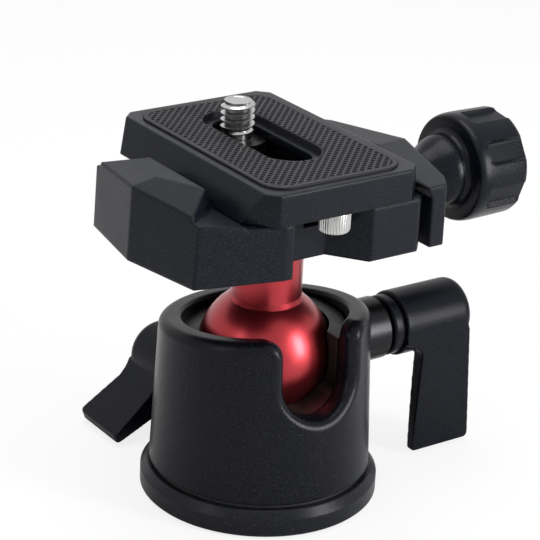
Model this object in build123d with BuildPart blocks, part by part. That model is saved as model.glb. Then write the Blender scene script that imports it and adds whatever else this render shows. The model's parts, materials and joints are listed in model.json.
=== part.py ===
"""Tripod ball head with a screw clamp and quick release plate, as an assembly of separate parts.

Millimetres. +Z is up, the origin is the centre of the tripod socket's mouth in the base's underside.
+X is the side of the ball lock lever and the clamp knob, -Y is the side of the drop notch, and +Y is
the side of the pan lock lever. The clamp is stored closed on its plate, with both locks done up.
"""

import os
from math import cos, radians, sin, tan

from build123d import *

os.makedirs("parts", exist_ok=True)

# ---------------------------------------------------------------- driving dimensions
running = 0.05  # radial clearance of a shaft or thread that turns in its hole
sliding = 0.05  # gap at the faces that slide on each other

# base
base_r = 22.5
base_wall_h = 3.4
base_h = 5.0
base_top_r = 21.4
post_r = 13.0
post_top = 17.0
post_dish_r = 8.3
post_dish_z = 14.0
groove_z = 12.5  # height of the pan groove, and so of the pan lock's axis
groove_half = 1.2
groove_depth = 1.1
socket_thread_r = 3.97  # tapping radius of a 3/8"-16 UNC thread
socket_depth = 10.0
socket_bush_r = 6.5
socket_bush_h = 11.5
disc_t = 1.4
disc_r = 13.9
disc_bore_r = 8.7
disc_screws = 3
disc_screw_pcd_r = 10.7
disc_screw_r = 0.9
disc_screw_head_r = 1.7
pan_washer_t = 0.55

# housing
housing_z = 5.6
housing_foot_r = 20.91
housing_draft = 2.465  # degrees
rim_z = 35.2  # height of the sloping rim on the axis
rim_slope = 7.4  # degrees, high on the notch side
rim_round = 1.8
rim_inner_round = 0.8
cavity_r = 15.4
cavity_floor = 18.8
ball_r = 12.5
ball_z = 28.0
notch_r = 7.0
seat_top = 23.4
liner_z = 23.5
liner_top = 31.0
pressure_pad_top = 33.3

# neck of the ball
neck_r = 6.6
neck_collar_r = 7.1
neck_gap = 0.3  # clearance at each side of the collar between the ends of the liner
neck_top = 51.15
spigot_r = 5.0
spigot_h = 1.5

# locks: sleeve, screw, lever
lock_screw_r = 3.0
sleeve_r = 6.1
sleeve_tail_r = 4.55
ball_lock_z = 26.5
ball_spot_x = 18.7
ball_sleeve_end = 28.0
pan_spot_y = 19.2
pan_sleeve_end = 21.0
pan_lever_angle = 71.5  # degrees from straight down, towards -X
lever_r = 6.4
lever_l = 15.6
lever_reach = 26.0
pan_lever_reach = 19.2
lever_collar_r = 5.9
lever_collar_l = 3.0
lever_root_t = 5.2
lever_tip_t = 2.2
lock_gap = 0.4
lock_washer_t = 1.2
lock_washer_r = 4.8

# clamp
clamp_z = 51.2
floor_z = 61.4
lip_z = 62.9  # top edge of both dovetail lips
ridge_z = 66.0
clamp_half = 20.9  # half its length along Y
clamp_right = 19.2
plate_x = 1.25  # the dovetail's centre line
axis_z = 56.5  # height of the clamp screw
spindle_r = 2.5
guide_y = 11.0
guide_r = 1.5
jaw_gap_x = 20.9
jaw_z = 51.4
clamp_round = 0.3
stop_pocket_z = 57.2  # floor of the pockets that the stop screws slide in
clamp_screw_r = 3.0

# clamp knob
knob_x = 30.6
knob_hub_r = 4.3
knob_bell_r = 7.3
knob_disc_x = 41.2
knob_disc_r = 10.2
knob_grip_x = 43.0
knob_r = 10.65
knob_end_r = 10.4
knob_end = 52.8
knob_lobes = 7
knob_lobe_w = 4.7
knob_panel_x = 45.3
knob_panel_depth = 0.9

# quick release plate
plate_z = 61.5
plate_top = 67.5
plate_y = 3.5
plate_w = 32.3
plate_l = 50.0
plate_foot_w = 38.5
pad_recess = 0.8
pad_t = 1.2
slot_y = 5.4
slot_l = 26.5
slot_r = 3.9
window_l = 29.9
window_r = 5.75
screw_y = 13.5
screw_top = 72.2
unc_quarter_r = 3.175


def cone_r(z):
    """Outer radius of the drafted housing at height z."""
    return housing_foot_r - (z - housing_z) * tan(radians(housing_draft))


def save(builder, name):
    """Label a finished part and write its STEP file."""
    builder.part.label = name
    export_step(builder.part, f"parts/{name}.step")


def facet(a, b, c, outside):
    """Plane through three points, with its normal on the side of the point outside."""
    a, b, c, outside = Vector(*a), Vector(*b), Vector(*c), Vector(*outside)
    normal = (b - a).cross(c - a)
    if (outside - a).dot(normal) < 0:
        normal = normal * -1
    return Plane(origin=a, z_dir=normal)


# ---------------------------------------------------------------- base
with BuildPart() as base_plate:
    with BuildSketch(Plane.XZ) as profile:
        with BuildLine():
            Polyline(
                (socket_bush_r, 0),
                (base_r - 0.4, 0),
                (base_r, 0.4),
                (base_r, base_wall_h),
                (base_top_r, base_h),
                (post_r, base_h),
                (post_r, groove_z - groove_half),
                (post_r - groove_depth, groove_z),
                (post_r, groove_z + groove_half),
                (post_r, post_top),
                (post_dish_r, post_top),
                (post_dish_r, post_dish_z),
                (0, post_dish_z),
                (0, socket_bush_h),
                (socket_bush_r, socket_bush_h),
                close=True,
            )
        make_face()
    revolve(axis=Axis.Z)
    with BuildSketch(Plane.XY) as relief:
        Circle(19.6)
        Circle(9.2, mode=Mode.SUBTRACT)
    extrude(amount=0.5, mode=Mode.SUBTRACT)
    with BuildSketch(Plane.XY.offset(post_top)) as tapped:
        with PolarLocations(disc_screw_pcd_r, disc_screws):
            Circle(disc_screw_r)
    extrude(amount=-4.5, mode=Mode.SUBTRACT)
save(base_plate, "base_plate")

with BuildPart() as tripod_socket:
    with BuildSketch(Plane.XY):
        Circle(socket_bush_r)
    extrude(amount=socket_bush_h)
    with BuildSketch(Plane.XY):
        Circle(socket_thread_r)
    extrude(amount=socket_depth, mode=Mode.SUBTRACT)
save(tripod_socket, "tripod_socket")

with BuildPart() as pan_washer:
    with BuildSketch(Plane.XY.offset(base_h)):
        Circle(20.3)
        Circle(post_r + 0.2, mode=Mode.SUBTRACT)
    extrude(amount=pan_washer_t)
save(pan_washer, "pan_washer")

with BuildPart() as retaining_disc:
    with BuildSketch(Plane.XY.offset(post_top)):
        Circle(disc_r)
        Circle(disc_bore_r, mode=Mode.SUBTRACT)
    extrude(amount=disc_t)
    with Locations(Plane.XY.offset(post_top + disc_t)):
        with PolarLocations(disc_screw_pcd_r, disc_screws):
            CounterSinkHole(disc_screw_r, disc_screw_head_r, depth=disc_t, counter_sink_angle=90)
save(retaining_disc, "retaining_disc")

with BuildPart() as retaining_screws:
    head_h = disc_screw_head_r - disc_screw_r
    with PolarLocations(disc_screw_pcd_r, disc_screws):
        with Locations((0, 0, post_top - 4.4)):
            Cylinder(disc_screw_r, 4.4 + disc_t, align=(Align.CENTER, Align.CENTER, Align.MIN))
        with Locations((0, 0, post_top + disc_t - head_h)):
            Cone(disc_screw_r, disc_screw_head_r, head_h, align=(Align.CENTER, Align.CENTER, Align.MIN))
        with Locations((0, 0, post_top + disc_t - 0.5)):
            Cylinder(0.6, 0.5, align=(Align.CENTER, Align.CENTER, Align.MIN), mode=Mode.SUBTRACT)
save(retaining_screws, "retaining_screws")

# ---------------------------------------------------------------- housing
rim_plane = Plane(origin=(0, 0, rim_z), z_dir=(0, sin(radians(rim_slope)), cos(radians(rim_slope))))
ball_lock_plane = Plane(origin=(0, 0, ball_lock_z), x_dir=(0, -1, 0), z_dir=(1, 0, 0))
pan_turn = radians(pan_lever_angle)
pan_lock_plane = Plane(
    origin=(0, 0, groove_z), x_dir=(cos(pan_turn), 0, -sin(pan_turn)), z_dir=(0, 1, 0)
)

with BuildPart() as housing:
    with BuildSketch(Plane.XZ):
        with BuildLine():
            Polyline(
                (post_r + running + 0.01, housing_z),
                (housing_foot_r - 0.3, housing_z),
                (cone_r(housing_z + 0.3), housing_z + 0.3),
                (cone_r(44), 44),
                (cavity_r, 44),
                (cavity_r, cavity_floor),
                (disc_r + 0.2, cavity_floor),
                (disc_r + 0.2, post_top - 0.1),
                (post_r + running + 0.01, post_top - 0.1),
                close=True,
            )
        make_face()
    revolve(axis=Axis.Z)
    split(bisect_by=rim_plane, keep=Keep.BOTTOM)
    with BuildSketch(Plane.XZ):
        with Locations((0, ball_z)):
            Circle(notch_r)
        with Locations((0, ball_z + 10)):
            Rectangle(2 * notch_r, 20)
    extrude(amount=25, mode=Mode.SUBTRACT)
    notch_corners = housing.edges().filter_by(
        lambda e: e.center().Z > rim_z and abs(abs(e.center().X) - notch_r) < 0.01 and e.center().Y < -14
    )
    notch_corners = notch_corners.filter_by(
        lambda e: e.position_at(0).Z > rim_z and e.position_at(1).Z > rim_z
    )
    fillet(notch_corners, 3.0)
    cone = housing.faces().filter_by(GeomType.CONE).sort_by(SortBy.AREA)[-1]
    fillet(cone.edges().filter_by(lambda e: e.center().Z > 12), rim_round)
    bore = housing.faces().filter_by(GeomType.CYLINDER).filter_by(lambda f: abs(f.radius - cavity_r) < 0.01)
    inner_edges = bore.sort_by(SortBy.AREA)[-1].edges()
    fillet(inner_edges.filter_by(lambda e: e.center().Z > cavity_floor + 1), rim_inner_round)
    for plane, spot, depth in (
        (ball_lock_plane, ball_spot_x, 4.0),
        (pan_lock_plane, pan_spot_y, 6.5),
    ):
        with BuildSketch(plane.offset(spot)):
            Circle(sleeve_r + 0.03)
        extrude(amount=6, mode=Mode.SUBTRACT)
        with BuildSketch(plane.offset(spot)):
            Circle(sleeve_tail_r)
        extrude(amount=-depth, mode=Mode.SUBTRACT)
save(housing, "housing")

# ---------------------------------------------------------------- ball seat, liner and pressure pads
with BuildPart() as ball_seat:
    with BuildSketch(Plane.XZ):
        with BuildLine():
            Polyline(
                (9.6, cavity_floor),
                (cavity_r - 0.05, cavity_floor),
                (cavity_r - 0.05, seat_top),
                (11.8, seat_top),
                (10.2, 21.6),
                (9.6, 21.0),
                close=True,
            )
        make_face()
    revolve(axis=Axis.Z)
    with Locations((0, 0, ball_z)):
        Sphere(ball_r + running, mode=Mode.SUBTRACT)
    with BuildSketch(Plane.XZ):
        with Locations((0, ball_z)):
            Circle(neck_collar_r + neck_gap)
    extrude(amount=25, mode=Mode.SUBTRACT)
save(ball_seat, "ball_seat")

with BuildPart() as ball_liner:
    with BuildSketch(Plane.XY.offset(liner_z)):
        Circle(cavity_r - 0.05)
        Circle(12.0, mode=Mode.SUBTRACT)
        with Locations((10, 0)):
            Rectangle(24, 40, mode=Mode.SUBTRACT)
        with Locations((0, -20)):
            Rectangle(2 * (neck_collar_r + neck_gap), 40, mode=Mode.SUBTRACT)
    extrude(amount=liner_top - liner_z)
    with Locations((0, 0, ball_z)):
        Sphere(ball_r + running, mode=Mode.SUBTRACT)
save(ball_liner, "ball_liner")

with BuildPart() as pressure_pad:
    with BuildSketch(Plane.XY.offset(liner_z)):
        Circle(cavity_r - 0.4)
        Circle(12.0, mode=Mode.SUBTRACT)
        with Locations((-10, 0)):
            Rectangle(34, 40, mode=Mode.SUBTRACT)
        with Locations((0, -20)):
            Rectangle(2 * (neck_collar_r + neck_gap), 40, mode=Mode.SUBTRACT)
    extrude(amount=pressure_pad_top - liner_z)
    with Locations((0, 0, ball_z)):
        Sphere(ball_r + 0.3, mode=Mode.SUBTRACT)
save(pressure_pad, "pressure_pad")

with BuildPart() as pan_lock_pad:
    with BuildSketch(pan_lock_plane.offset(post_r + 0.08)):
        Circle(2.9)
    extrude(amount=1.6)
save(pan_lock_pad, "pan_lock_pad")


# ---------------------------------------------------------------- locks
def lock_parts(prefix, plane, spot, sleeve_end, tip, reach):
    """Make the sleeve, screw, washer, lever and lever screw of one lock.

    The plane is square to the lock's axis. Its x direction is the side of the lever's flush face, and
    the paddle points along its y direction. Both locks have the same lever but for its reach.
    """
    boss = sleeve_end + lock_washer_t + lock_gap
    outward = Axis(plane.origin, plane.z_dir)
    with BuildPart() as sleeve:
        with BuildSketch(plane.offset(spot)):
            Circle(sleeve_r)
        extrude(amount=sleeve_end - spot)
        chamfer(sleeve.edges().filter_by(GeomType.CIRCLE).sort_by(outward)[-1], 0.4)
        with BuildSketch(plane.offset(spot)):
            Circle(sleeve_tail_r - 0.05)
        extrude(amount=-2.6)
        with BuildSketch(plane.offset(spot - 3)):
            Circle(lock_screw_r + running)
        extrude(amount=sleeve_end - spot + 4, mode=Mode.SUBTRACT)
    save(sleeve, f"{prefix}_sleeve")

    with BuildPart() as screw:
        with BuildSketch(plane.offset(tip)):
            Circle(lock_screw_r)
        extrude(amount=boss + 11 - tip)
        chamfer(screw.edges().filter_by(GeomType.CIRCLE).sort_by(outward)[0], 0.5)
        with BuildSketch(plane.offset(boss + 11)):
            Circle(1.45)
        extrude(amount=-7, mode=Mode.SUBTRACT)
    save(screw, f"{prefix}_screw")

    with BuildPart() as washer:
        with BuildSketch(plane.offset(sleeve_end + lock_gap)):
            Circle(lock_washer_r)
            Circle(lock_screw_r, mode=Mode.SUBTRACT)
        extrude(amount=lock_washer_t)
    save(washer, f"{prefix}_washer")

    flush = Plane(
        origin=plane.from_local_coords((lever_r - 0.05, 0, 0)), x_dir=plane.z_dir, z_dir=plane.x_dir
    )
    tip_in = boss + 4.9 - 0.2 * (reach - 6.4)
    with BuildPart() as paddle:
        with BuildSketch(flush) as outline:
            with BuildLine():
                Polyline(
                    (boss + lever_collar_l + 0.5, 1.0),
                    (boss + lever_collar_l + 0.5, -5.0),
                    (boss + 4.9, -6.4),
                    (tip_in, -reach),
                    (boss + 16.6, -reach),
                    (boss + lever_l, 1.0),
                    close=True,
                )
            make_face()
            fillet(outline.vertices().filter_by(lambda v: abs(v.X - boss - 4.9) < 0.01), 1.5)
            fillet(outline.vertices().filter_by(lambda v: v.Y < 1 - reach), 1.3)
        extrude(amount=-lever_root_t)
        root = (0, -5.7, -lever_root_t)
        root_outer = (9, -5.7, -lever_root_t)
        back = (root, root_outer, (0, -reach, -lever_tip_t), (0, 0, -60))
        split(bisect_by=facet(*[flush.from_local_coords(p) for p in back]), keep=Keep.BOTTOM)
        fillet(paddle.faces().sort_by(Axis(plane.origin, plane.x_dir))[-1].edges(), 0.9)
    with BuildPart() as lever:
        with BuildSketch(plane.offset(boss)):
            Circle(lever_collar_r)
        extrude(amount=lever_collar_l)
        chamfer(lever.edges().filter_by(GeomType.CIRCLE), 0.4)
        with BuildSketch(plane.offset(boss + lever_collar_l - 0.5)):
            Circle(lever_collar_r - 0.6)
        extrude(amount=1.0)
        with BuildSketch(plane.offset(boss + lever_collar_l + 0.3)):
            Circle(lever_r)
        extrude(amount=lever_l - lever_collar_l - 0.3)
        fillet(lever.edges().filter_by(GeomType.CIRCLE).sort_by(outward)[-1], 1.6)
        add(paddle.part)
        with BuildSketch(plane.offset(boss)):
            Circle(lock_screw_r)
        extrude(amount=11, mode=Mode.SUBTRACT)
        with BuildSketch(plane.offset(boss + lever_l)):
            Circle(3.1)
        extrude(amount=-3.3, mode=Mode.SUBTRACT)
        with BuildSketch(plane.offset(boss + lever_l)):
            Circle(1.6)
        extrude(amount=-lever_l + 8, mode=Mode.SUBTRACT)
    save(lever, f"{prefix}_lever")

    with BuildPart() as bolt:
        with BuildSketch(plane.offset(boss + lever_l - 3.3)):
            Circle(2.8)
        extrude(amount=2.0)
        with BuildSketch(plane.offset(boss + lever_l - 3.3)):
            Circle(1.4)
        extrude(amount=-6.5)
        with BuildSketch(plane.offset(boss + lever_l - 1.3)):
            RegularPolygon(radius=1.35, side_count=6)
        extrude(amount=-1.2, mode=Mode.SUBTRACT)
    save(bolt, f"{prefix}_lever_screw")


lock_parts("ball_lock", ball_lock_plane, ball_spot_x, ball_sleeve_end, cavity_r - 0.05, lever_reach)
lock_parts("pan_lock", pan_lock_plane, pan_spot_y, pan_sleeve_end, post_r + 1.98, pan_lever_reach)

# ---------------------------------------------------------------- ball with its neck
with BuildPart() as ball_stem:
    with BuildSketch(Plane.XZ):
        with BuildLine():
            Polyline(
                (0, ball_z),
                (neck_collar_r, ball_z + 2.0),
                (neck_collar_r, ball_z + 10.5),
                (neck_r, ball_z + 11.2),
                (neck_r, neck_top),
                (spigot_r, neck_top),
                (spigot_r, neck_top + spigot_h),
                (0, neck_top + spigot_h),
                close=True,
            )
        make_face()
    revolve(axis=Axis.Z)
    with Locations((0, 0, ball_z)):
        Sphere(ball_r)
    with BuildSketch(Plane.XY.offset(neck_top + spigot_h)):
        Circle(clamp_screw_r + running)
    extrude(amount=-10.5, mode=Mode.SUBTRACT)
save(ball_stem, "ball_stem")


# ---------------------------------------------------------------- clamp
flank = (plate_foot_w - plate_w) / 2 / (plate_top - plate_z)  # run of the dovetail's side per mm of height
foot_left = plate_x - plate_foot_w / 2
foot_right = plate_x + plate_foot_w / 2

with BuildPart() as end_cut:  # what is cut off one end of the fixed jaw above its ledge
    with Locations((-25, -20, floor_z)):
        Box(30, 26, 12, align=(Align.CENTER, Align.CENTER, Align.MIN))
    split(bisect_by=facet((-27, 0, 63), (-14, 0, floor_z), (-27, 1, 63), (0, 0, 100)), keep=Keep.TOP)
    split(
        bisect_by=facet((-20.3, -9.1, 66), (-26.5, -15.3, 64.15), (-20.6, -10.5, 62.5), (0, -60, 60)),
        keep=Keep.TOP,
    )

with BuildPart() as clamp_body:
    with BuildSketch(Plane.XZ):
        with BuildLine():
            Polyline(
                (-30.6, clamp_z),
                (clamp_right, clamp_z),
                (clamp_right, floor_z),
                (foot_left - sliding - flank * (plate_z - floor_z), floor_z),
                (foot_left - sliding + flank * (lip_z - plate_z), lip_z),
                (-20.3, ridge_z),
                (-30.6, ridge_z),
                close=True,
            )
        make_face()
    extrude(amount=clamp_half, both=True)
    chamfer(
        clamp_body.edges()
        .filter_by(Axis.Z)
        .filter_by_position(Axis.X, clamp_right - 0.1, clamp_right + 0.1)
        .filter_by(lambda e: abs(abs(e.center().Y) - clamp_half) < 0.1),
        1.3,
    )
    for s in (1, -1):
        outer = ((-30.1, 0, clamp_z), (-27.1, -17 * s, clamp_z), (-29.4, 0, 65))
        split(bisect_by=facet(*outer, (-60, -20 * s, 60)), keep=Keep.BOTTOM)
        upper = ((-29.4, 0, 65), (-24.5, 0, ridge_z), (-20.3, -9.1 * s, ridge_z))
        split(bisect_by=facet(*upper, (-30, -20 * s, 100)), keep=Keep.BOTTOM)
        cheek = ((-27.1, -17 * s, clamp_z), (-10.9, -clamp_half * s, clamp_z), (-27.1, -17 * s, 60))
        split(bisect_by=facet(*cheek, (-27, -60 * s, 60)), keep=Keep.BOTTOM)
    add(end_cut.part, mode=Mode.SUBTRACT)
    add(end_cut.part.mirror(Plane.XZ), mode=Mode.SUBTRACT)
    fillet(clamp_body.edges().filter_by(lambda e: abs(e.center().Z - floor_z) > 0.3), clamp_round)
    for s in (1, -1):
        recess = [(-9.3, 14.0), (2.4, 14.0), (7.6, clamp_half), (8.4, 22.0), (-9.3, 22.0)]
        with BuildSketch(Plane.XY.offset(clamp_z)):
            Polygon(*[(x, s * y) for x, y in recess], align=None)
        extrude(amount=20, mode=Mode.SUBTRACT)
        with Locations((plate_x, s * 17.3, stop_pocket_z)):
            Box(7.2, 10, 20, align=(Align.CENTER, Align.CENTER, Align.MIN), mode=Mode.SUBTRACT)
    with BuildSketch(Plane.XY.offset(clamp_z)):
        Circle(spigot_r + running)
    extrude(amount=spigot_h, mode=Mode.SUBTRACT)
    with BuildSketch(Plane.XY.offset(clamp_z)):
        Circle(clamp_screw_r + running)
    extrude(amount=8, mode=Mode.SUBTRACT)
    with BuildSketch(Plane.XY.offset(floor_z)):
        Circle(5.2)
    extrude(amount=-4.0, mode=Mode.SUBTRACT)
    with BuildSketch(Plane.YZ.offset(clamp_right)):
        with Locations((0, axis_z)):
            Circle(spindle_r + running)
    extrude(amount=-12.5, mode=Mode.SUBTRACT)
    with BuildSketch(Plane.YZ.offset(clamp_right)):
        with Locations((guide_y, axis_z), (-guide_y, axis_z)):
            Circle(guide_r)
    extrude(amount=-10, mode=Mode.SUBTRACT)
save(clamp_body, "clamp_body")

with BuildPart() as clamp_screw:
    with BuildSketch(Plane.XY.offset(floor_z - 4.0)):
        Circle(5.0)
    extrude(amount=3.5)
    chamfer(clamp_screw.edges().filter_by(GeomType.CIRCLE).sort_by(Axis.Z)[-1], 0.4)
    with BuildSketch(Plane.XY.offset(floor_z - 4.0)):
        Circle(clamp_screw_r)
    extrude(amount=-15)
    with BuildSketch(Plane.XY.offset(floor_z - 0.5)):
        RegularPolygon(radius=2.5, side_count=6)
    extrude(amount=-2.2, mode=Mode.SUBTRACT)
save(clamp_screw, "clamp_screw")

with BuildPart() as guide_pins:
    with BuildSketch(Plane.YZ.offset(clamp_right - 10)):
        with Locations((guide_y, axis_z), (-guide_y, axis_z)):
            Circle(guide_r)
    extrude(amount=16.4)
save(guide_pins, "guide_pins")

with BuildPart() as movable_jaw:
    with BuildSketch(Plane.XY.offset(jaw_z)):
        jaw_plan = [(18, -20.7), (24, -20.7), (26, -17.3), (30.3, 0), (26, 17.3), (24, 20.7), (18, 20.7)]
        Polygon(*jaw_plan, align=None)
    extrude(amount=14)
    jaw_lip = foot_right + sliding - flank * (lip_z - plate_z)
    with BuildSketch(Plane.XZ) as inside:
        with BuildLine():
            Polyline(
                (jaw_gap_x, jaw_z),
                (jaw_gap_x, plate_z - (jaw_gap_x - foot_right - sliding) / flank),
                (jaw_lip, lip_z),
                (23.8, 64.1),
                (34, 67),
                (34, jaw_z),
                close=True,
            )
        make_face()
    extrude(amount=30, both=True, mode=Mode.INTERSECT)
    for s in (1, -1):
        top = ((23.8, 0, 64.1), (30.3, 0, 64.3), (26, -17.3 * s, 63.3))
        split(bisect_by=facet(*top, (26, -17 * s, 100)), keep=Keep.BOTTOM)
    fillet(movable_jaw.edges().filter_by(lambda e: e.center().X > 23.9), clamp_round)
    with BuildSketch(Plane.YZ.offset(29.2)):
        with Locations((0, axis_z)):
            Circle(5.3)
    extrude(amount=4, mode=Mode.SUBTRACT)
    with BuildSketch(Plane.YZ.offset(jaw_gap_x - 2)):
        with Locations((0, axis_z)):
            Circle(spindle_r + 0.1)
    extrude(amount=14, mode=Mode.SUBTRACT)
    with BuildSketch(Plane.YZ.offset(jaw_gap_x - 2)):
        with Locations((guide_y, axis_z), (-guide_y, axis_z)):
            Circle(guide_r + running)
    extrude(amount=7.2, mode=Mode.SUBTRACT)
save(movable_jaw, "movable_jaw")

# ---------------------------------------------------------------- clamp knob
knob_axis = Plane(origin=(0, 0, axis_z), x_dir=(0, 1, 0), z_dir=(1, 0, 0))
with BuildPart() as clamp_knob:
    with BuildSketch(Plane.XZ):
        with BuildLine():
            Polyline((knob_x, axis_z), (knob_x, axis_z + knob_hub_r), (knob_x + 2.6, axis_z + knob_hub_r))
            Spline(
                (knob_x + 2.6, axis_z + knob_hub_r),
                (knob_x + 5.2, axis_z + 5.3),
                (knob_disc_x - 2.2, axis_z + knob_bell_r),
                tangents=((1, 0), (1, 0.15)),
            )
            Polyline(
                (knob_disc_x - 2.2, axis_z + knob_bell_r),
                (knob_disc_x, axis_z + knob_bell_r + 0.2),
                (knob_disc_x, axis_z + knob_disc_r - 0.4),
                (knob_disc_x + 0.4, axis_z + knob_disc_r),
                (knob_grip_x - 0.3, axis_z + knob_disc_r),
                (knob_grip_x + 0.2, axis_z + knob_r),
                (knob_end - 1.6, axis_z + knob_end_r),
                (knob_end, axis_z + knob_end_r - 1.5),
                (knob_end, axis_z),
                (knob_x, axis_z),
            )
        make_face()
    revolve(axis=Axis((0, 0, axis_z), (1, 0, 0)))
    with BuildSketch(knob_axis.offset(knob_end + 1)):
        Circle(knob_r + 1)
        Circle(knob_r - knob_panel_depth, mode=Mode.SUBTRACT)
        with PolarLocations(knob_r, knob_lobes, start_angle=175):
            Rectangle(4, knob_lobe_w, mode=Mode.SUBTRACT)
    extrude(amount=knob_panel_x - knob_end - 1, mode=Mode.SUBTRACT)
    with BuildSketch(knob_axis.offset(knob_end)):
        Circle(5.2)
    extrude(amount=-0.8, mode=Mode.SUBTRACT)
    with BuildSketch(knob_axis.offset(knob_x)):
        Circle(spindle_r)
    extrude(amount=13.4, mode=Mode.SUBTRACT)
save(clamp_knob, "clamp_knob")

with BuildPart() as clamp_spindle:
    with BuildSketch(knob_axis.offset(8.0)):
        Circle(spindle_r)
    extrude(amount=36.0)
    chamfer(clamp_spindle.edges().filter_by(GeomType.CIRCLE).sort_by(Axis.X)[0], 0.5)
save(clamp_spindle, "clamp_spindle")

with BuildPart() as knob_washer:
    with BuildSketch(knob_axis.offset(29.25)):
        Circle(5.0)
        Circle(spindle_r, mode=Mode.SUBTRACT)
    extrude(amount=1.35)
save(knob_washer, "knob_washer")

# ---------------------------------------------------------------- quick release plate
with BuildPart() as quick_release_plate:
    with BuildSketch(Plane.XZ.offset(-plate_y)):
        with BuildLine():
            Polyline(
                (foot_left, plate_z),
                (foot_right, plate_z),
                (plate_x + plate_w / 2, plate_top),
                (plate_x - plate_w / 2, plate_top),
                close=True,
            )
        make_face()
    extrude(amount=plate_l / 2, both=True)
    for i in (1, -1):
        for j in (1, -1):
            x_top = plate_x + i * plate_w / 2
            x_foot = plate_x + i * plate_foot_w / 2
            y_end = plate_y + j * plate_l / 2
            corner = ((x_top - 2 * i, y_end, plate_top), (x_top, y_end - 2 * j, plate_top))
            split(
                bisect_by=facet(*corner, (x_foot - 5.2 * i, y_end, plate_z), (60 * i, 60 * j, 64)),
                keep=Keep.BOTTOM,
            )
    fillet(quick_release_plate.edges(), 0.25)
    with BuildSketch(Plane.XY.offset(plate_top)):
        with Locations((plate_x, plate_y)):
            RectangleRounded(28.7, 46.2, 4.5)
    extrude(amount=-pad_recess, mode=Mode.SUBTRACT)
    with BuildSketch(Plane.XY.offset(plate_z)):
        with Locations((plate_x, slot_y)):
            SlotOverall(slot_l, 2 * slot_r, rotation=90)
    extrude(amount=10, mode=Mode.SUBTRACT)
    with BuildSketch(Plane.XY.offset(plate_z)):
        with Locations((plate_x, slot_y)):
            SlotOverall(slot_l + 5, 12.6, rotation=90)
    extrude(amount=3.6, mode=Mode.SUBTRACT)
    with BuildSketch(Plane.XY.offset(plate_z)):
        with Locations((plate_x, plate_y - 21.5), (plate_x, plate_y + 21.5)):
            Circle(1.5)
    extrude(amount=4, mode=Mode.SUBTRACT)
save(quick_release_plate, "quick_release_plate")

with BuildPart() as plate_pad:
    with BuildSketch(Plane.XY.offset(plate_top - pad_recess)):
        with Locations((plate_x, plate_y)):
            RectangleRounded(28.5, 46.0, 4.4)
        with Locations((plate_x, slot_y + 0.2)):
            SlotOverall(window_l, 2 * window_r, rotation=90, mode=Mode.SUBTRACT)
    extrude(amount=pad_t)
save(plate_pad, "plate_pad")

with BuildPart() as plate_stop_screws:
    for j in (-1, 1):
        with BuildSketch(Plane.XY.offset(plate_z - 4.0)):
            with Locations((plate_x, plate_y + j * 21.5)):
                Circle(3.25)
        extrude(amount=4.0)
        with BuildSketch(Plane.XY.offset(plate_z)):
            with Locations((plate_x, plate_y + j * 21.5)):
                Circle(1.5)
        extrude(amount=3.9)
        with BuildSketch(Plane.XY.offset(plate_z - 4.0)):
            with Locations((plate_x, plate_y + j * 21.5)):
                RegularPolygon(radius=1.6, side_count=6)
        extrude(amount=2.2, mode=Mode.SUBTRACT)
save(plate_stop_screws, "plate_stop_screws")

with BuildPart() as screw_washer:
    with BuildSketch(Plane.XY.offset(64.35)):
        with Locations((plate_x, screw_y)):
            Circle(5.7)
            Circle(2.6 + running, mode=Mode.SUBTRACT)
    extrude(amount=0.7)
save(screw_washer, "screw_washer")

with BuildPart() as camera_screw:
    with Locations((plate_x, screw_y, 61.9)):
        Cylinder(5.5, 2.4, align=(Align.CENTER, Align.CENTER, Align.MIN))
        Box(9.0, 1.3, 2.4, align=(Align.CENTER, Align.CENTER, Align.CENTER), mode=Mode.SUBTRACT)
    with Locations((plate_x, screw_y, 64.3)):
        Cylinder(2.6, 3.7, align=(Align.CENTER, Align.CENTER, Align.MIN))
    with Locations((plate_x, screw_y, 68.0)):
        Cylinder(unc_quarter_r, screw_top - 68.0, align=(Align.CENTER, Align.CENTER, Align.MIN))
    chamfer(camera_screw.edges().filter_by(GeomType.CIRCLE).sort_by(Axis.Z)[-1], 0.5)
save(camera_screw, "camera_screw")
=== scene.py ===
"""Looks of the tripod ball head: threads, knurls and pad relief, materials, floor, light and camera."""

import json
import math

import bmesh
import bpy
from mathutils import Matrix, Vector


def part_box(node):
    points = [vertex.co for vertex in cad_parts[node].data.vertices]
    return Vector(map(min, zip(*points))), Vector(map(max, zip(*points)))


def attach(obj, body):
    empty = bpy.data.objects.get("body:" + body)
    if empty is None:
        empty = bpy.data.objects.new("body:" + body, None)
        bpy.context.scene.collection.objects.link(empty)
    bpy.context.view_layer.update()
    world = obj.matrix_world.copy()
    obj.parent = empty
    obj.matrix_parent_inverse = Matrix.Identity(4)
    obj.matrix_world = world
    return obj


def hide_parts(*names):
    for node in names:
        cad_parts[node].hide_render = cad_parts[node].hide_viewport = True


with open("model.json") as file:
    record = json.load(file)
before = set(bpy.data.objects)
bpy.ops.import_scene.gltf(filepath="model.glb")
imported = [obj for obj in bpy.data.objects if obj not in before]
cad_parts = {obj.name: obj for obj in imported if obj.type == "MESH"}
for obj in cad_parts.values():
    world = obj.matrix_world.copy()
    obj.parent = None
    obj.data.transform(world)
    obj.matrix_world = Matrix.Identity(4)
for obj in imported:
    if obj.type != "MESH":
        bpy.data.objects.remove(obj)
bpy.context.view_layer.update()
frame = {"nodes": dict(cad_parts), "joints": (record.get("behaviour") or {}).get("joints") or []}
scene = bpy.context.scene
MM = 0.001
INCH = 25.4


def millimetres(point):
    return [round(value / MM, 2) for value in point]


def limits(cad_node):
    """The lowest and the highest corner of a CAD node in millimetres."""
    return [millimetres(corner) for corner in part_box(cad_node)]


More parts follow.
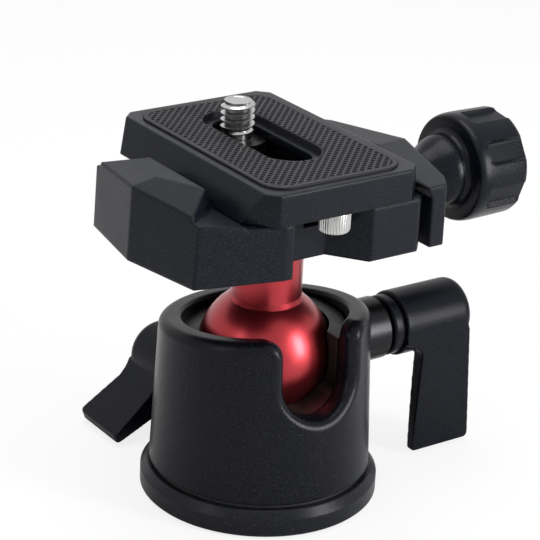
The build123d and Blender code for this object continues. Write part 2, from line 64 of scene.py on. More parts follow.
# places in the frame that the pieces made here keep to, in millimetres
PIVOT = {joint["name"]: millimetres(joint["pos_m"]) for joint in frame["joints"] if "pos_m" in joint}
PLATE_X, SCREW_Y, _ = PIVOT["camera_screw_turn"]


# ------------------------------------------------------------------ shader helpers
NOISE_LOW, NOISE_HIGH = 0.3, 0.7  # most of a noise's values lie between these


def material(name, colour, roughness, metallic=0.0, specular=0.5, coat=0.0, coat_roughness=0.1):
    """A Principled material with its uniform values on the shader's own sockets."""
    mat = bpy.data.materials.new(name)
    mat.use_nodes = True
    shader = mat.node_tree.nodes["Principled BSDF"]
    shader.inputs["Base Color"].default_value = (*colour, 1)
    shader.inputs["Roughness"].default_value = roughness
    shader.inputs["Metallic"].default_value = metallic
    shader.inputs["Specular IOR Level"].default_value = specular
    shader.inputs["Coat Weight"].default_value = coat
    shader.inputs["Coat Roughness"].default_value = coat_roughness
    return mat


def node(owner, kind, **settings):
    """A new node of a material or the world, with its inputs and its other settings by name."""
    made = owner.node_tree.nodes.new(kind)
    for key, value in settings.items():
        title = key.replace("_", " ").title()
        if title in made.inputs:
            made.inputs[title].default_value = value
        else:
            setattr(made, key, value)
    return made


def link(owner, source, target):
    owner.node_tree.links.new(source, target)


def place(mat, stretch=(1, 1, 1)):
    """Object coordinates in millimetres, stretched to make the grain finer along an axis."""
    where = node(mat, "ShaderNodeTexCoord")
    scaled = node(mat, "ShaderNodeMapping", scale=[s / MM for s in stretch])
    link(mat, where.outputs["Object"], scaled.inputs["Vector"])
    return scaled.outputs["Vector"]


def noise(mat, where, scale, detail=3.0, roughness=0.5):
    made = node(mat, "ShaderNodeTexNoise", scale=scale, detail=detail, roughness=roughness)
    link(mat, where, made.inputs["Vector"])
    return made.outputs["Fac"]


def ramp(mat, value, stops):
    """A colour ramp through the (position, colour) stops."""
    made = node(mat, "ShaderNodeValToRGB")
    elements = made.color_ramp.elements
    while len(elements) < len(stops):
        elements.new(0.5)
    for element, (position, colour) in zip(elements, stops):
        element.position = position
        element.color = (*colour, 1)
    link(mat, value, made.inputs["Fac"])
    return made.outputs["Color"]


def span(mat, value, low, high):
    """A noise's usual range spread over low to high."""
    made = node(mat, "ShaderNodeMapRange", from_min=NOISE_LOW, from_max=NOISE_HIGH, to_min=low, to_max=high)
    link(mat, value, made.inputs["Value"])
    return made.outputs["Result"]


def bump(mat, height, depth, after=None):
    """A normal with relief of the depth in millimetres, on top of the normal that is given."""
    made = node(mat, "ShaderNodeBump", distance=depth * MM)
    link(mat, height, made.inputs["Height"])
    if after is not None:
        link(mat, after, made.inputs["Normal"])
    return made.outputs["Normal"]


def softened(mat, radius):
    """A normal that rounds the edges over with the radius in millimetres."""
    return node(mat, "ShaderNodeBevel", samples=6, radius=radius * MM).outputs["Normal"]


def textured(mat, colour, roughness, normal):
    """The material with textures on its shader's colour, roughness and normal."""
    shader = mat.node_tree.nodes["Principled BSDF"]
    link(mat, colour, shader.inputs["Base Color"])
    link(mat, roughness, shader.inputs["Roughness"])
    link(mat, normal, shader.inputs["Normal"])
    return mat


# ------------------------------------------------------------------ materials
def grained(name, dark, light, roughness, grain, depth, specular=0.5):
    """Black plastic or rubber with a fine grain: its scale per millimetre and its depth."""
    mat = material(name, light, roughness, specular=specular)
    where = place(mat)
    fine = noise(mat, where, scale=grain)
    broad = noise(mat, where, scale=0.12, detail=2)
    return textured(
        mat,
        colour=ramp(mat, fine, [(0.35, dark), (0.7, light)]),
        roughness=span(mat, broad, roughness - 0.04, roughness + 0.05),
        normal=bump(mat, fine, depth),
    )


def sparkling(name, dark, light, painted_glint, roughness, specular, edge=0.5):
    """Powder coat: satin black with a fine grain whose brightest specks are painted glints, a faint orange
    peel and softened edges.
    """
    mat = material(name, light, roughness, specular=specular)
    where = place(mat)
    peel = noise(mat, where, scale=2.4, detail=2)
    grain_and_glint = noise(mat, where, scale=4.5, detail=2, roughness=0.7)
    broad = noise(mat, where, scale=0.1, detail=2)
    depth = 0.02
    return textured(
        mat,
        # the noise spreads a random grain from dark to light, and its top stop is a painted glint colour
        colour=ramp(mat, grain_and_glint, [(0.3, dark), (0.62, light), (0.72, painted_glint)]),
        roughness=span(mat, broad, roughness - 0.03, roughness + 0.04),
        normal=bump(mat, grain_and_glint, depth, after=bump(mat, peel, depth, after=softened(mat, edge))),
    )


def turned(name, colour, roughness, finer=5, wear=0.06, coat=0.0, coat_roughness=0.1):
    """Machined or anodised metal with faint tool marks, finer along Z than across it by a factor."""
    mat = material(name, colour, roughness, metallic=1.0, coat=coat, coat_roughness=coat_roughness)
    marks = noise(mat, place(mat, stretch=(1, 1, finer)), scale=4.0, detail=4)
    cloud = noise(mat, place(mat), scale=0.15, detail=2)
    dull = tuple(0.86 * c for c in colour)
    return textured(
        mat,
        colour=ramp(mat, cloud, [(0.3, dull), (0.6, colour)]),
        roughness=span(mat, marks, roughness - wear, roughness + wear),
        normal=bump(mat, marks, depth=0.003),
    )


def clouded(name, colour, dark, light, roughness, specular):
    """Acetal that lets a little light through, with faint moulding clouds from dark to light."""
    mat = material(name, colour, roughness, specular=specular)
    shader = mat.node_tree.nodes["Principled BSDF"]
    shader.inputs["Subsurface Weight"].default_value = 0.1
    shader.inputs["Subsurface Radius"].default_value = (1.0, 0.8, 0.7)
    shader.inputs["Subsurface Scale"].default_value = 1.0 * MM
    where = place(mat)
    cloud = noise(mat, where, scale=0.5)
    return textured(
        mat,
        colour=ramp(mat, cloud, [(0.3, dark), (0.7, light)]),
        roughness=span(mat, cloud, roughness - 0.04, roughness + 0.09),
        normal=bump(mat, noise(mat, where, scale=6.0), depth=0.004),
    )


# the third colour of each powder coat below is its painted glint
housing_paint = sparkling(
    "housing_paint",
    dark=(0.0012, 0.0014, 0.0024),
    light=(0.006, 0.0067, 0.0105),
    painted_glint=(0.045, 0.045, 0.05),
    roughness=0.27,
    specular=0.11,
)
clamp_paint = sparkling(
    "clamp_paint",
    dark=(0.0015, 0.0019, 0.0032),
    light=(0.0075, 0.0093, 0.0152),
    painted_glint=(0.045, 0.045, 0.055),
    roughness=0.3,
    specular=0.12,
    edge=0.9,
)
plate_black = sparkling(
    "plate_black",
    dark=(0.0015, 0.0019, 0.0032),
    light=(0.007, 0.0086, 0.0138),
    painted_glint=(0.035, 0.035, 0.04),
    roughness=0.28,
    specular=0.12,
    edge=0.7,
)
base_black = sparkling(
    "base_black",
    dark=(0.002, 0.0023, 0.0036),
    light=(0.0085, 0.0094, 0.0135),
    painted_glint=(0.045, 0.045, 0.05),
    roughness=0.29,
    specular=0.15,
)
inner_black = turned("inner_black", (0.02, 0.02, 0.021), roughness=0.4, finer=6)
sleeve_black = turned("sleeve_black", (0.022, 0.022, 0.024), roughness=0.3, finer=1)
screw_black = turned("screw_black", (0.035, 0.035, 0.036), roughness=0.35)
ball_red = turned(
    "ball_red", (0.36, 0.024, 0.032), roughness=0.34, wear=0.03, coat=0.4, coat_roughness=0.28
)
steel = turned("plain_steel", (0.55, 0.55, 0.54), roughness=0.32)
stainless = turned("stainless", (0.5, 0.5, 0.5), roughness=0.24, finer=6)
pad_brass = turned("pad_brass", (0.7, 0.5, 0.22), roughness=0.35)
lever_plastic = grained(
    "lever_plastic",
    dark=(0.0014, 0.0017, 0.003),
    light=(0.006, 0.0073, 0.0122),
    roughness=0.3,
    grain=3.2,
    depth=0.018,
    specular=0.11,
)
knob_plastic = grained(
    "knob_plastic",
    dark=(0.0013, 0.0016, 0.0028),
    light=(0.006, 0.0074, 0.0122),
    roughness=0.27,
    grain=3.0,
    depth=0.03,
    specular=0.13,
)
nylon = grained(
    "black_nylon",
    dark=(0.01, 0.01, 0.01),
    light=(0.018, 0.018, 0.018),
    roughness=0.5,
    grain=3.0,
    depth=0.008,
)
rubber = grained(
    "pad_rubber",
    dark=(0.006, 0.0062, 0.008),
    light=(0.015, 0.0155, 0.0205),
    roughness=0.5,
    grain=3.5,
    depth=0.012,
    specular=0.3,
)
acetal = clouded(
    "liner_acetal",
    colour=(0.02, 0.017, 0.016),
    dark=(0.017, 0.0145, 0.0137),
    light=(0.024, 0.021, 0.0195),
    roughness=0.36,
    specular=0.3,
)

FINISH = {
    "base_plate": base_black,
    "tripod_socket": steel,
    "pan_washer": nylon,
    "retaining_disc": inner_black,
    "retaining_screws": steel,
    "housing": housing_paint,
    "ball_seat": acetal,
    "ball_liner": acetal,
    "pressure_pad": acetal,
    "ball_lock_sleeve": sleeve_black,
    "ball_lock_screw": steel,
    "ball_lock_washer": nylon,
    "ball_lock_lever": lever_plastic,
    "ball_lock_lever_screw": steel,
    "pan_lock_pad": pad_brass,
    "pan_lock_sleeve": sleeve_black,
    "pan_lock_screw": steel,
    "pan_lock_washer": nylon,
    "pan_lock_lever": lever_plastic,
    "pan_lock_lever_screw": steel,
    "ball_stem": ball_red,
    "clamp_body": clamp_paint,
    "clamp_screw": screw_black,
    "guide_pins": steel,
    "movable_jaw": clamp_paint,
    "clamp_knob": knob_plastic,
    "clamp_spindle": steel,
    "knob_washer": steel,
    "quick_release_plate": plate_black,
    "plate_pad": rubber,
    "plate_stop_screws": steel,
    "screw_washer": screw_black,
    "camera_screw": stainless,
}
for name, obj in frame["nodes"].items():
    for slot in obj.material_slots:
        slot.material = FINISH[name]


# ------------------------------------------------------------------ mesh helpers
ROUND, FINE_ROUND = 48, 72  # points around a thread, and around a smooth round part


def make(name, verts, faces, mat, body, slot, replaced, smooth_deg=35, merge=1e-6):
    """A mesh piece from points in millimetres, cleaned, shaded and put on its body.

    Points within merge metres of each other become one, and edges over smooth_deg stay sharp.
    """
    mesh = bpy.data.meshes.new(name)
    mesh.from_pydata([(x * MM, y * MM, z * MM) for x, y, z in verts], [], faces)
    work = bmesh.new()
    work.from_mesh(mesh)
    bmesh.ops.remove_doubles(work, verts=work.verts, dist=merge)
    bmesh.ops.dissolve_degenerate(work, edges=work.edges, dist=merge)
    bmesh.ops.recalc_face_normals(work, faces=work.faces)
    work.to_mesh(mesh)
    work.free()
    mesh.materials.append(mat)
    mesh.shade_smooth()
    mesh.set_sharp_from_angle(angle=math.radians(smooth_deg))
    piece = bpy.data.objects.new(name, mesh)
    scene.collection.objects.link(piece)
    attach(piece, body)
    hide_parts(*replaced)
    return piece


def skin(loops, closed=False, cap=False):
    """Points and quads through loops of equal length, each one a ring of points."""
    count = len(loops[0])
    verts = [p for loop in loops for p in loop]
    faces = []
    pairs = list(zip(range(len(loops)), range(1, len(loops))))
    if closed:
        pairs.append((len(loops) - 1, 0))
    for a, b in pairs:
        for i in range(count):
            j = (i + 1) % count
            faces.append((a * count + i, a * count + j, b * count + j, b * count + i))
    if cap:
        faces.append(tuple(range(count)))
        faces.append(tuple((len(loops) - 1) * count + i for i in reversed(range(count))))
    return verts, faces


def join(*parts):
    """The points and faces of several surfaces as one."""
    verts, faces = [], []
    for more_verts, more_faces in parts:
        base = len(verts)
        verts += more_verts
        faces += [tuple(base + i for i in face) for face in more_faces]
    return verts, faces


def upright(x, y):
    """A function that gives a point at an angle, radius and height around a vertical axis."""
    return lambda angle, radius, height: (x + radius * math.cos(angle), y + radius * math.sin(angle), height)


def lying(z):
    """The same around an axis along X over the origin, whose heights are x."""
    return lambda angle, radius, height: (height, radius * math.cos(angle), z + radius * math.sin(angle))


def circle(ring, radius, height, count=ROUND):
    return [ring(2 * math.pi * k / count, radius, height) for k in range(count)]


def closing(ring, *rims):
    """A round surface through rims of (radius, height), the last one filled."""
    verts, faces = skin([circle(ring, radius, height) for radius, height in rims])
    faces.append(tuple(range(len(verts) - ROUND, len(verts))))
    return verts, faces


# ------------------------------------------------------------------ rubber pad
(pad_left, pad_front, PAD_BOTTOM), (pad_right, pad_back, PAD_TOP) = limits("plate_pad")
PAD_CENTRE = ((pad_left + pad_right) / 2, (pad_front + pad_back) / 2)
PAD_HALF = ((pad_right - pad_left) / 2, (pad_back - pad_front) / 2)
PAD = (*PAD_CENTRE, *PAD_HALF, 4.4)  # centre x and y, half sizes, corner radius
WINDOW = (PLATE_X, 5.6, 5.75, 14.95, 5.75)
PIT_Z = limits("quick_release_plate")[1][2]  # between its ribs the pad is as low as the plate's top
BORDER, BORDER_EDGE = 1.0, 0.15  # plain border around the ribs and the slope of its edges
SILL, SILL_EDGE, SILL_Z = 0.3, 0.1, PAD_TOP - 0.05  # the narrower border around the window
RIB_FOOT, RIB_SUNK = 0.28, 0.05  # half width of a rib's foot and its depth under the pits
RIB_LAP, RIB_SHORTEST = 0.1, 0.4  # how far a rib runs into the border, and its least length
RIB_STEP = 0.1


def rounded(shape, grow, z, steps=12):
    """Ring of points around a rounded rectangle that is grown outward."""
    cx, cy, half_x, half_y, radius = shape
    reach = radius + grow
    points = []
    for quarter, (sx, sy) in enumerate(((1, 1), (-1, 1), (-1, -1), (1, -1))):
        corner_x, corner_y = cx + sx * (half_x - radius), cy + sy * (half_y - radius)
        for k in range(steps + 1):
            angle = math.pi / 2 * (quarter + k / steps)
            points.append((corner_x + reach * math.cos(angle), corner_y + reach * math.sin(angle), z))
    return points


def inside(shape, grow, x, y):
    """Whether a point lies in the rounded rectangle when it is grown outward."""
    cx, cy, half_x, half_y, radius = shape
    dx = max(abs(x - cx) - (half_x - radius), 0)
    dy = max(abs(y - cy) - (half_y - radius), 0)
    return math.hypot(dx, dy) <= radius + grow


def rib(start, end, across, half_width, top):
    """A rib with sloping sides and square ends, from one point to another."""
    foot = PIT_Z - RIB_SUNK
    verts = []
    for p in (start, end):
        for offset, z in ((-RIB_FOOT, foot), (-half_width, top), (half_width, top), (RIB_FOOT, foot)):
            q = p + across * offset
            verts.append((q.x, q.y, z))
    sides = [(a, a + 1, a + 5, a + 4) for a in range(3)]
    return verts, [*sides, (0, 1, 2, 3), (7, 6, 5, 4)]


def ridges(angle, pitch, half_width, top):
    """Straight raised ribs over the pad, cut off at its border and at the window's sill."""
    along = Vector((math.cos(angle), math.sin(angle)))
    across = Vector((-along.y, along.x))
    half_diagonal = math.hypot(*PAD_HALF)
    rows = math.ceil(half_diagonal / pitch)
    steps = math.ceil(half_diagonal / RIB_STEP)
    ribs = []
    for n in range(-rows, rows + 1):
        run = []
        for k in range(-steps, steps + 1):
            p = Vector(PAD_CENTRE) + across * (n * pitch) + along * (k * RIB_STEP)
            if inside(PAD, RIB_LAP - BORDER, *p) and not inside(WINDOW, SILL - RIB_LAP, *p):
                run.append(p)
            elif run:
                if (run[-1] - run[0]).length >= RIB_SHORTEST:
                    ribs.append(rib(run[0], run[-1], across, half_width, top))
                run = []
    return join(*ribs)


pad_loops = [
    rounded(PAD, 0, PAD_BOTTOM),
    rounded(PAD, 0, PAD_TOP - BORDER_EDGE),
    rounded(PAD, -BORDER_EDGE, PAD_TOP),
    rounded(PAD, BORDER_EDGE - BORDER, PAD_TOP),
    rounded(PAD, -BORDER, PIT_Z),
    rounded(WINDOW, SILL, PIT_Z),
    rounded(WINDOW, SILL - SILL_EDGE, SILL_Z),
    rounded(WINDOW, SILL_EDGE, SILL_Z),
    rounded(WINDOW, 0, PAD_TOP - BORDER_EDGE),
    rounded(WINDOW, 0, PAD_BOTTOM),
]
pad_parts = [
    skin(pad_loops, closed=True),
    ridges(math.radians(45), pitch=1.15, half_width=0.2, top=PAD_TOP - 0.01),
    ridges(math.radians(-45), pitch=1.1, half_width=0.17, top=PAD_TOP - 0.02),
]
make("pad_relief", *join(*pad_parts), rubber, "plate", "black_rubber", ["plate_pad"], merge=1e-7)


# ------------------------------------------------------------------ threads
def thread(ring, low, high, pitch, crest_r, root_r, ends):
    """A helical V thread between two heights as columns of points along its axis.

    ring(angle, radius, height) gives a point; ends are the radii that 45 degree chamfers start from.
    """
    # the V's corners in one turn, as shares of the pitch: a flat crest, two flanks and a flat root
    profile = ((0.125, root_r), (0.4375, crest_r), (0.5625, crest_r), (0.875, root_r))
    outer = crest_r > root_r
    trim, slope = (min, 1) if outer else (max, -1)
    turns = int((high - low) / pitch) + 3
    verts = []
    for i in range(ROUND + 1):
        for k in range(-2, turns):
            for phase, radius in profile:
                h = min(max(low + pitch * (k + phase + i / ROUND), low), high)
                if low < h < high:
                    radius = trim(radius, ends[0] + slope * (h - low), ends[1] + slope * (high - h))
                else:
                    radius = ends[0] if h == low else ends[1]
                verts.append(ring(2 * math.pi * i / ROUND, radius, h))
    rows = len(verts) // (ROUND + 1)
    faces = []
    for i in range(ROUND):
        for j in range(rows - 1):
            first = i * rows + j
            faces.append((first, first + 1, first + rows + 1, first + rows))
    return verts, faces


def threaded(name, parts, mat, body, slot, replaced):
    """A piece with a thread, whose flanks stay crisp."""
    make(name, *join(*parts), mat, body, slot, [replaced], smooth_deg=28)


# 1/4 inch-20 camera screw: its thread from the neck to the tip, and its round head
HEAD_BOTTOM, TIP_Z = (corner[2] for corner in limits("camera_screw"))
NECK_Z, NECK_R, TIP_R = 66.0, 2.4, 2.55
HEAD_R, HEAD_TOP, HEAD_EDGE = 5.5, 64.3, 0.2
stud = upright(PLATE_X, SCREW_Y)
stud_parts = [
    thread(stud, NECK_Z, TIP_Z, pitch=INCH / 20, crest_r=INCH / 8, root_r=2.45, ends=(NECK_R, TIP_R)),
    closing(stud, (TIP_R, TIP_Z), (2.1, TIP_Z), (2.0, TIP_Z - 0.08)),
    closing(
        stud,
        (NECK_R, NECK_Z),
        (NECK_R, HEAD_TOP),
        (HEAD_R - HEAD_EDGE, HEAD_TOP),
        (HEAD_R, HEAD_TOP - HEAD_EDGE),
        (HEAD_R, HEAD_BOTTOM + HEAD_EDGE),
        (HEAD_R - HEAD_EDGE, HEAD_BOTTOM),
    ),
]
threaded("camera_screw_thread", stud_parts, stainless, "camera_screw", "stainless", "camera_screw")

# 3/8 inch-16 tripod socket: a bush with a blind threaded bore
BUSH_R, _, BUSH_TOP = limits("tripod_socket")[1]
BORE_R, BORE_TOP, BORE_MOUTH = 3.97, 10.0, 4.9
THREAD_TOP = 9.6
bush = upright(0, 0)
bush_parts = [
    thread(bush, 0, THREAD_TOP, pitch=INCH / 16, crest_r=BORE_R, root_r=4.76, ends=(BORE_MOUTH, BORE_R)),
    closing(bush, (BORE_R, THREAD_TOP), (BORE_R, BORE_TOP)),
    closing(bush, (BORE_MOUTH, 0), (BUSH_R, 0), (BUSH_R, BUSH_TOP)),
]
threaded("tripod_socket_thread", bush_parts, steel, "base", "steel", "tripod_socket")

# clamp spindle: a thread of 0.8 mm pitch at its inner end, then a plain shank
SPINDLE_START, SPINDLE_END = (corner[0] for corner in limits("clamp_spindle"))
SHANK_START, SHANK_R = 28.0, 2.5
spindle = lying(PIVOT["clamp_knob_turn"][2])
spindle_parts = [
    thread(spindle, SPINDLE_START, SHANK_START, pitch=0.8, crest_r=SHANK_R, root_r=2.06, ends=(2.0, 2.1)),
    closing(spindle, (2.1, SHANK_START), (SHANK_R, SHANK_START + 0.3), (SHANK_R, SPINDLE_END)),
    closing(spindle, (2.0, SPINDLE_START)),
]
threaded("clamp_spindle_thread", spindle_parts, steel, "knob", "steel", "clamp_spindle")

# ------------------------------------------------------------------ moulded clamp knob
PANELS = 7
RIDGE_AT = math.radians(175)  # angle of one of the ridges between the panels
PANEL_START, PANEL_HALF_WIDTH, PANEL_CORNER, PANEL_EDGE = 43.7, 2.4, 1.1, 0.45
PANEL_FLAT, GRIP_R = 9.4, 10.4  # distances of a panel's floor and of the grip from the axis
KNOB_AROUND = PANELS * 48


def ease(value):
    """A smooth step from 0 to 1."""
    value = min(max(value, 0.0), 1.0)
    return value * value * (3 - 2 * value)


def spaced(start, length, steps):
    return [start + length * k / steps for k in range(steps + 1)]


def grip_radius(height):
    """Radius of the grip, which swells behind its edge and then tapers."""
    return 10.62 - 0.3 * math.exp((41.8 - height) / 0.8) - 0.022 * (height - 42.0)


def knob_profile():
    """Heights and radii of the knob from its hub to the hollow in its outer end."""
    hub_r, flare = 4.3, 2.6
    hub = [(30.6, 0.0), (30.6, 3.9), (30.75, 4.2), (31.0, hub_r)]
    trumpet = [(h, hub_r + flare * ease((h - 32.8) / 6.6)) for h in spaced(31.4, 8.6, 24)]
    fillet = [(40.3, 6.98), (40.6, 7.12), (40.85, 7.34), (41.03, 7.65), (41.14, 8.05), (41.2, 8.6)]
    edge = [(41.2, 9.75), (41.25, 9.95), (41.4, 10.12), (41.6, 10.25)]
    grip = [(h, grip_radius(h)) for h in spaced(42.0, 9.8, 30)]
    rim = [(52.2, 10.25), (52.5, 10.0), (52.72, 9.65), (52.8, 9.2)]
    hollow = [(52.8, 5.6), (52.7, 5.35), (52.4, 5.2), (52.0, 5.2), (52.0, 0.0)]
    return hub + trumpet + fillet + edge + grip + rim + hollow


def knob_point(angle, height, radius):
    """A point of the knob, sunk toward a panel's flat floor where it lies in a panel."""
    step = 2 * math.pi / PANELS
    off = abs((angle - RIDGE_AT) % step - step / 2)
    across = off * GRIP_R - (PANEL_HALF_WIDTH - PANEL_CORNER)
    before = PANEL_START + PANEL_CORNER - height
    outside = math.hypot(max(across, 0), max(before, 0)) + min(max(across, before), 0) - PANEL_CORNER
    flat = PANEL_FLAT / math.cos(off)
    if radius > flat:
        radius -= ease(-outside / PANEL_EDGE) * (radius - flat)
    return spindle(angle, radius, height)


knob_angles = [2 * math.pi * k / KNOB_AROUND for k in range(KNOB_AROUND)]
knob_loops = []
for height, radius in knob_profile():
    knob_loops.append([knob_point(angle, height, radius) for angle in knob_angles])
make("knob_moulded", *skin(knob_loops), knob_plastic, "knob", "black_plastic", ["clamp_knob"], smooth_deg=50)

# ------------------------------------------------------------------ locks
BOSS_R, BOSS_ROUNDING = 6.4, 1.9
COLLAR_R, GROOVE_R = 5.9, 5.4
LOCK_SCREW_R = 2.95  # bore over the lock's screw
LEVER_SCREW_R, LEVER_SCREW_HEAD_R = 1.4, 3.1  # bores of the screw in the lever's end
BALL_REACH, PAN_REACH = 26.0, 19.2  # from each lock's axis to its paddle's tip
PAN_LIFT = math.radians(71.5)  # how far the pan lock's paddle stands from straight down
PADDLE_SIDE = 6.38  # the paddle's flush side, just inside the boss
PADDLE_SECTIONS = 120
VOXEL, SOFTENING = 0.16, 8  # grid that joins a lever's shells, and passes that soften its edges
# x and radius along the ball lock's sleeve: its spigot, its barrel with a chamfer, and its bore
SLEEVE = [(16.1, 3.05), (16.1, 4.5), (18.7, 4.5), (18.7, 6.1), (25.6, 6.1), (26.0, 5.7), (26.0, 3.05)]


def bent(corners, steps=6):
    """The outline through the corners (x, y, radius), each one rounded off."""
    points = []
    for k, (x, y, radius) in enumerate(corners):
        here = Vector((x, y))
        before = (Vector(corners[k - 1][:2]) - here).normalized()
        after = (Vector(corners[(k + 1) % len(corners)][:2]) - here).normalized()
        cut = radius / math.tan(before.angle(after) / 2)
        for i in range(steps + 1):
            t = i / steps
            points.append(here + before * cut * (1 - t) ** 2 + after * cut * t**2)
    return points


def moulded(name, shells, body, replaced):
    """A plastic piece of overlapping closed shells, joined into one skin with softened edges."""
    piece = make(name, *join(*shells), lever_plastic, body, "black_plastic", [replaced])
    union = piece.modifiers.new("union", "REMESH")
    union.mode = "VOXEL"
    union.voxel_size = VOXEL * MM
    soften = piece.modifiers.new("soften", "SMOOTH")
    soften.factor = 0.5
    soften.iterations = SOFTENING
    done = bpy.data.meshes.new_from_object(piece.evaluated_get(bpy.context.evaluated_depsgraph_get()))
    piece.modifiers.clear()
    piece.data = done
    done.shade_smooth()


def crossing(outline, v):
    """The lowest and highest x at which the closed outline crosses the height v."""
    found = []
    for k, p in enumerate(outline):
        q = outline[k - 1]
        if (p.y - v) * (q.y - v) <= 0 and p.y != q.y:
            found.append(p.x + (q.x - p.x) * (v - p.y) / (q.y - p.y))
    return min(found), max(found)


def boss_profile(start, shoulder, end):
    """Heights and radii of a lever's collar, boss and stepped bore."""
    rounding, head_floor, screw_end = end - 1.6, end - 3.3, end - 7.6
    collar = [
        (start, LOCK_SCREW_R),
        (start, COLLAR_R - 0.4),
        (start + 0.4, COLLAR_R),
        (shoulder - 0.5, COLLAR_R),
        (shoulder - 0.3, GROOVE_R),
    ]
    boss = [(shoulder, GROOVE_R), (shoulder, BOSS_R - 0.3), (shoulder + 0.3, BOSS_R), (rounding, BOSS_R)]
    for k in range(1, 9):
        turn = math.pi / 2 * k / 8
        radius = BOSS_R - BOSS_ROUNDING + BOSS_ROUNDING * math.cos(turn)
        boss.append((rounding + BOSS_ROUNDING * math.sin(turn), radius))
    bore = [
        (end + 0.3, LEVER_SCREW_HEAD_R),
        (head_floor, LEVER_SCREW_HEAD_R),
        (head_floor, LEVER_SCREW_R),
        (screw_end, LEVER_SCREW_R),
        (screw_end, LOCK_SCREW_R),
    ]
    return collar + boss + bore


def paddle_outline(shoulder, end, reach):
    """The paddle seen along its thickness, from inside the boss to its tip and back."""
    return bent(
        [
            (shoulder + 0.1, -1.0, 0.1),
            (shoulder + 0.1, 2.4, 0.1),
            (shoulder + 4.15, 4.5, 2.4),
            (end - 12.9, reach, 0.9),
            (end + 1.2, reach, 1.2),
            (end - 0.35, 2.0, 1.2),
            (end - 1.6, -1.0, 0.1),
        ]
    )


def lever(name, origin, axis, along, ends, reach, thick, body, replaced):
    """A lock's lever: collar, boss and a wedge-shaped paddle flush with one side of the boss.

    ends are the collar's start, the boss's shoulder and its outer end; thick(v) is the paddle's
    thickness at the distance v from the axis.
    """
    origin, axis, along = Vector(origin), Vector(axis), Vector(along)
    face = along.cross(axis)

    def at(u, v, w):
        return tuple(origin + axis * u + along * v + face * w)

    def ring(angle, radius, height):
        return at(height, radius * math.cos(angle), radius * math.sin(angle))

    rims = [circle(ring, radius, height, FINE_ROUND) for height, radius in boss_profile(*ends)]
    outline = paddle_outline(*ends[1:], reach)
    low, high = -0.8, reach - 0.01
    sections = []
    for k in range(PADDLE_SECTIONS + 1):
        v = low + (high - low) * math.sin(math.pi / 2 * k / PADDLE_SECTIONS)
        near, far = crossing(outline, v)
        inner = PADDLE_SIDE - thick(v)
        corners = ((near, PADDLE_SIDE), (far, PADDLE_SIDE), (far, inner), (near, inner))
        sections.append([at(u, v, w) for u, w in corners])
    moulded(name, [skin(rims, closed=True), skin(sections, cap=True)], body, replaced)


def ball_paddle(v):
    """A wedge that thins toward its tip."""
    return 2.9 - 1.2 * (max(v - 6, 0) / 20) ** 1.5


def pan_paddle(v):
    """A steeper wedge with a fillet up to the boss, kept out of the boss's bore."""
    if v < 4.3:
        return 3.0
    return 1.9 + 0.31 * (PAN_REACH - v) + 1.7 * min(max(9.8 - v, 0) / 3.6, 1.0) ** 2


lever(
    "ball_lever_moulded",
    origin=PIVOT["ball_lock_turn"],
    axis=(1, 0, 0),
    along=(0, 0, -1),
    ends=(26.7, 29.3, 45.2),
    reach=BALL_REACH,
    thick=ball_paddle,
    body="ball_lock",
    replaced="ball_lock_lever",
)
sleeve_ring = lying(PIVOT["ball_lock_turn"][2])
sleeve_skin = skin([circle(sleeve_ring, radius, x, FINE_ROUND) for x, radius in SLEEVE], closed=True)
make("ball_sleeve_turned", *sleeve_skin, sleeve_black, "housing", "black_anodised", ["ball_lock_sleeve"])
lever(
    "pan_lever_moulded",
    origin=PIVOT["pan_lock_turn"],
    axis=(0, 1, 0),
    along=(-math.sin(PAN_LIFT), 0, -math.cos(PAN_LIFT)),
    ends=(22.6, 22.9, 37.9),
    reach=PAN_REACH,
    thick=pan_paddle,
    body="pan_lock",
    replaced="pan_lock_lever",
)

# ------------------------------------------------------------------ knurled stop screws
STOP_YS = (-18.0, 25.0)
STOP_BOTTOM = limits("plate_stop_screws")[0][2]
FLUTES = 34
STOP_POINTS = FLUTES * 4
# radius, depth of the flutes and height, from the shank's end down to the head's lower face
STOP_PROFILE = [
    (1.5, 0, 65.3),
    (1.5, 0, 61.5),
    (2.5, 0, 61.5),
    (2.8, 0.16, 61.2),
    (2.85, 0.18, 61.1),
    (2.85, 0.18, 58.0),
    (2.65, 0.06, 57.6),
    (2.5, 0, STOP_BOTTOM),
]
SOCKET_PROFILE = [(1.7, STOP_BOTTOM), (1.6, STOP_BOTTOM + 0.15), (1.6, 59.7)]


def knurl(y, radius, depth, z):
    """Ring of points around a stop screw, two of every four sunk by the flutes' depth."""
    ring = upright(PLATE_X, y)
    return [
        ring(2 * math.pi * k / STOP_POINTS, radius - (depth if k % 4 in (2, 3) else 0), z)
        for k in range(STOP_POINTS)
    ]


def socket(y, radius, z):
    """Ring of points on a hexagon, one for each point of the knurl."""
    ring = upright(PLATE_X, y)
    points = []
    for k in range(STOP_POINTS):
        angle = 2 * math.pi * k / STOP_POINTS
        reach = radius * math.cos(math.pi / 6) / math.cos(angle % (math.pi / 3) - math.pi / 6)
        points.append(ring(angle, reach, z))
    return points


stops = []
for y in STOP_YS:
    outer = [knurl(y, radius, depth, z) for radius, depth, z in STOP_PROFILE]
    hexagon = [socket(y, radius, z) for radius, z in SOCKET_PROFILE]
    stops.append(skin(outer + hexagon, cap=True))
make("stop_screws_knurled", *join(*stops), steel, "plate", "steel", ["plate_stop_screws"], smooth_deg=30)

# ------------------------------------------------------------------ floor and surroundings
FLOOR_SIZE, FLOOR_Z = 6.0, -0.0003  # in metres, as the lamps and the camera are
FLOOR_WHITE = 0.82  # share of plain white in the floor that the camera sees
AMBIENT = 0.42  # strength of the light from all around
WHITE = (1, 1, 1, 1)


def mixed(owner, factor, first, second, output):
    """Links a mix of two shaders to the surface of a material's or the world's output."""
    mix = node(owner, "ShaderNodeMixShader")
    link(owner, factor, mix.inputs["Fac"])
    link(owner, first, mix.inputs[1])
    link(owner, second, mix.inputs[2])
    link(owner, mix.outputs["Shader"], owner.node_tree.nodes[output].inputs["Surface"])


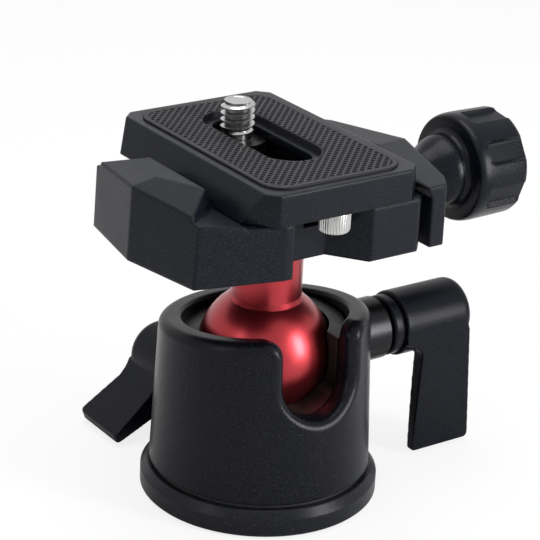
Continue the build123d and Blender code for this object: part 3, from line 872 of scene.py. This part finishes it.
bpy.ops.mesh.primitive_plane_add(size=FLOOR_SIZE, location=(0, 0, FLOOR_Z))
floor = bpy.context.object
floor.name = "floor"
floor_mat = material("floor_white", (0.9, 0.9, 0.9), roughness=0.9, specular=0.0)
floor.data.materials.append(floor_mat)
seen = node(floor_mat, "ShaderNodeLightPath").outputs["Is Camera Ray"]
share = node(floor_mat, "ShaderNodeMath", operation="MULTIPLY")
link(floor_mat, seen, share.inputs[0])
share.inputs[1].default_value = FLOOR_WHITE
floor_shader = floor_mat.node_tree.nodes["Principled BSDF"].outputs["BSDF"]
glow = node(floor_mat, "ShaderNodeEmission").outputs["Emission"]
mixed(floor_mat, share.outputs[0], floor_shader, glow, "Material Output")

# the camera, reflections and clear parts see a white world; it lights the scene at the ambient level
world = bpy.data.worlds.new("studio")
scene.world = world
world.use_nodes = True
ambient = world.node_tree.nodes["Background"]
ambient.inputs["Color"].default_value = WHITE
ambient.inputs["Strength"].default_value = AMBIENT
white = node(world, "ShaderNodeBackground", color=WHITE, strength=1.0)
rays = node(world, "ShaderNodeLightPath")
shown = rays.outputs["Is Camera Ray"]
for kind in ("Is Glossy Ray", "Is Transmission Ray"):
    either = node(world, "ShaderNodeMath", operation="MAXIMUM")
    link(world, shown, either.inputs[0])
    link(world, rays.outputs[kind], either.inputs[1])
    shown = either.outputs[0]
mixed(world, shown, ambient.outputs["Background"], white.outputs["Background"], "World Output")

# ------------------------------------------------------------------ lamps
LIT_POINT = Vector((0, 0, 0.035))


def softbox(name, place_at, size, watts):
    """A rectangular area light aimed at the middle of the head."""
    lamp = bpy.data.lights.new(name, "AREA")
    lamp.shape = "RECTANGLE"
    lamp.size, lamp.size_y = size
    lamp.energy = watts
    obj = bpy.data.objects.new(name, lamp)
    obj.location = place_at
    aim = LIT_POINT - Vector(place_at)
    obj.rotation_euler = aim.to_track_quat("-Z", "Y").to_euler()
    scene.collection.objects.link(obj)


softbox("left_box", (-0.5, -0.05, 0.2), size=(0.08, 0.45), watts=0.4)
softbox("right_box", (0.3, -0.5, 0.18), size=(0.12, 0.3), watts=3.4)
softbox("top_box", (0.0, 0.05, 0.6), size=(0.35, 0.5), watts=2.4)

# ------------------------------------------------------------------ camera
# left of the front and above, about 0.4 m away; the angles are in radians
CAMERA_PLACE = (-0.21295, -0.30237, 0.1977)
YAW, PITCH, ROLL = 0.615, 0.395, 0.047
LENS, SENSOR_WIDTH = 145.28, 36
NEAREST, FARTHEST = 0.01, 20

forward = Vector((math.sin(YAW) * math.cos(PITCH), math.cos(YAW) * math.cos(PITCH), -math.sin(PITCH)))
right = Vector((math.cos(YAW), -math.sin(YAW), 0))
up = right.cross(forward)
right_rolled = right * math.cos(ROLL) + up * math.sin(ROLL)
up_rolled = up * math.cos(ROLL) - right * math.sin(ROLL)
camera_data = bpy.data.cameras.new("camera")
camera_data.lens = LENS
camera_data.sensor_width = SENSOR_WIDTH
camera_data.clip_start = NEAREST
camera_data.clip_end = FARTHEST
camera = bpy.data.objects.new("camera", camera_data)
scene.collection.objects.link(camera)
turned_frame = Matrix((right_rolled, up_rolled, -forward)).transposed().to_4x4()
camera.matrix_world = Matrix.Translation(CAMERA_PLACE) @ turned_frame
scene.camera = camera
scene.view_settings.view_transform = "Standard"
